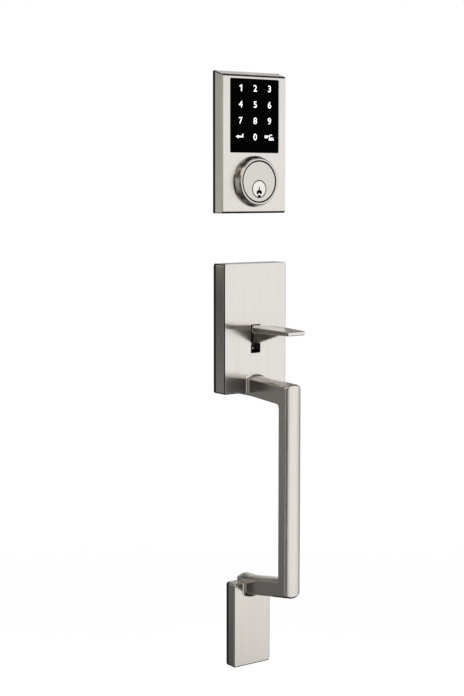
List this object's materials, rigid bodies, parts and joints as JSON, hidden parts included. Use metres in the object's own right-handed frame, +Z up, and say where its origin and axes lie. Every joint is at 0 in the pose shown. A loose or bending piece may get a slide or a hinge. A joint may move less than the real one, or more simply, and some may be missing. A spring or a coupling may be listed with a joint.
{
  "type": "keypad deadbolt and pull handle set",
  "caption": "Outside half of an entry set: a flat touch-keypad deadbolt with key cylinder, and a matching pull handle with thumb lever between two plates.",
  "frame": {"origin": "centre of the handle's upper plate on the door's outer face", "axes": "+X to the right seen from outside, +Y into the door, +Z up"},
  "size_m": [0.0684, 0.115, 0.5232],
  "materials": {
    "satin_nickel": "satin nickel plate over die-cast zinc, fine vertical brushing",
    "bright_nickel": "bright nickel plate over brass",
    "black_glass": "polished black glass, opaque",
    "zinc_steel": "zinc-plated steel",
    "brass": "turned brass",
    "spring_steel": "tempered spring steel",
    "black_rubber": "moulded black rubber",
    "white_plastic": "moulded white plastic",
    "board_green": "glass-fibre circuit board with solder mask",
    "black_plastic": "moulded black plastic"
  },
  "bodies": {
    "lockset": {"keypad_housing": "satin_nickel", "cylinder_collar": "satin_nickel", "cylinder_body": "satin_nickel", "upper_escutcheon": "satin_nickel", "pull_grip": "satin_nickel", "lower_escutcheon": "satin_nickel", "touch_lens": "black_glass", "keypad_back_plate": "zinc_steel", "keypad_plate_screw_left": "zinc_steel", "keypad_plate_screw_right": "zinc_steel", "keypad_post_left": "zinc_steel", "keypad_post_right": "zinc_steel", "board_screw_1": "zinc_steel", "board_screw_2": "zinc_steel", "board_screw_3": "zinc_steel", "board_screw_4": "zinc_steel", "cylinder_nut": "zinc_steel", "upper_back_plate": "zinc_steel", "upper_plate_screw_1": "zinc_steel", "upper_plate_screw_2": "zinc_steel", "upper_post_left": "zinc_steel", "upper_post_right": "zinc_steel", "grip_screw_left": "zinc_steel", "grip_screw_right": "zinc_steel", "grip_screw_lower": "zinc_steel", "lower_back_plate": "zinc_steel", "lower_plate_screw": "zinc_steel", "lower_post": "zinc_steel", "chamber_cap": "brass", "driver_pin_1": "brass", "driver_pin_2": "brass", "driver_pin_3": "brass", "driver_pin_4": "brass", "driver_pin_5": "brass", "thumb_pin": "spring_steel", "thumb_spring": "spring_steel", "pin_spring_1": "spring_steel", "pin_spring_2": "spring_steel", "pin_spring_3": "spring_steel", "pin_spring_4": "spring_steel", "pin_spring_5": "spring_steel", "keypad_gasket": "black_rubber", "upper_gasket": "black_rubber", "lower_gasket": "black_rubber", "light_baffle": "white_plastic", "touch_board": "board_green", "cable_socket": "black_plastic"},
    "key_plug": {"plug": "bright_nickel", "plug_clip": "spring_steel", "tailpiece": "zinc_steel", "key_pin_1": "brass", "key_pin_2": "brass", "key_pin_3": "brass", "key_pin_4": "brass", "key_pin_5": "brass"},
    "thumb_lever": {"thumb_lever": "satin_nickel"},
    "latch_spindle": {"spindle_hub": "zinc_steel", "hub_clip": "spring_steel", "latch_spindle": "zinc_steel"}
  },
  "joints": [
    {"name": "plug_turn", "type": "hinge", "parent": "lockset", "child": "key_plug", "pos_m": [0, 0, 0.1202], "axis": [0, 1, 0], "range_deg": [-90, 90]},
    {"name": "thumb_press", "type": "hinge", "parent": "lockset", "child": "thumb_lever", "pos_m": [0, -0.0113, -0.008], "axis": [1, 0, 0], "range_deg": [0, 16], "stiffness_Nm_per_rad": 0.15, "springref_deg": -20.05},
    {"name": "spindle_turn", "type": "hinge", "parent": "lockset", "child": "latch_spindle", "pos_m": [0, 0, -0.0131], "axis": [0, 1, 0], "range_deg": [-36.5, 0]}
  ],
  "couplings": [
    {"joint": "spindle_turn", "follows": "thumb_press", "ratio": -2.25}
  ]
}
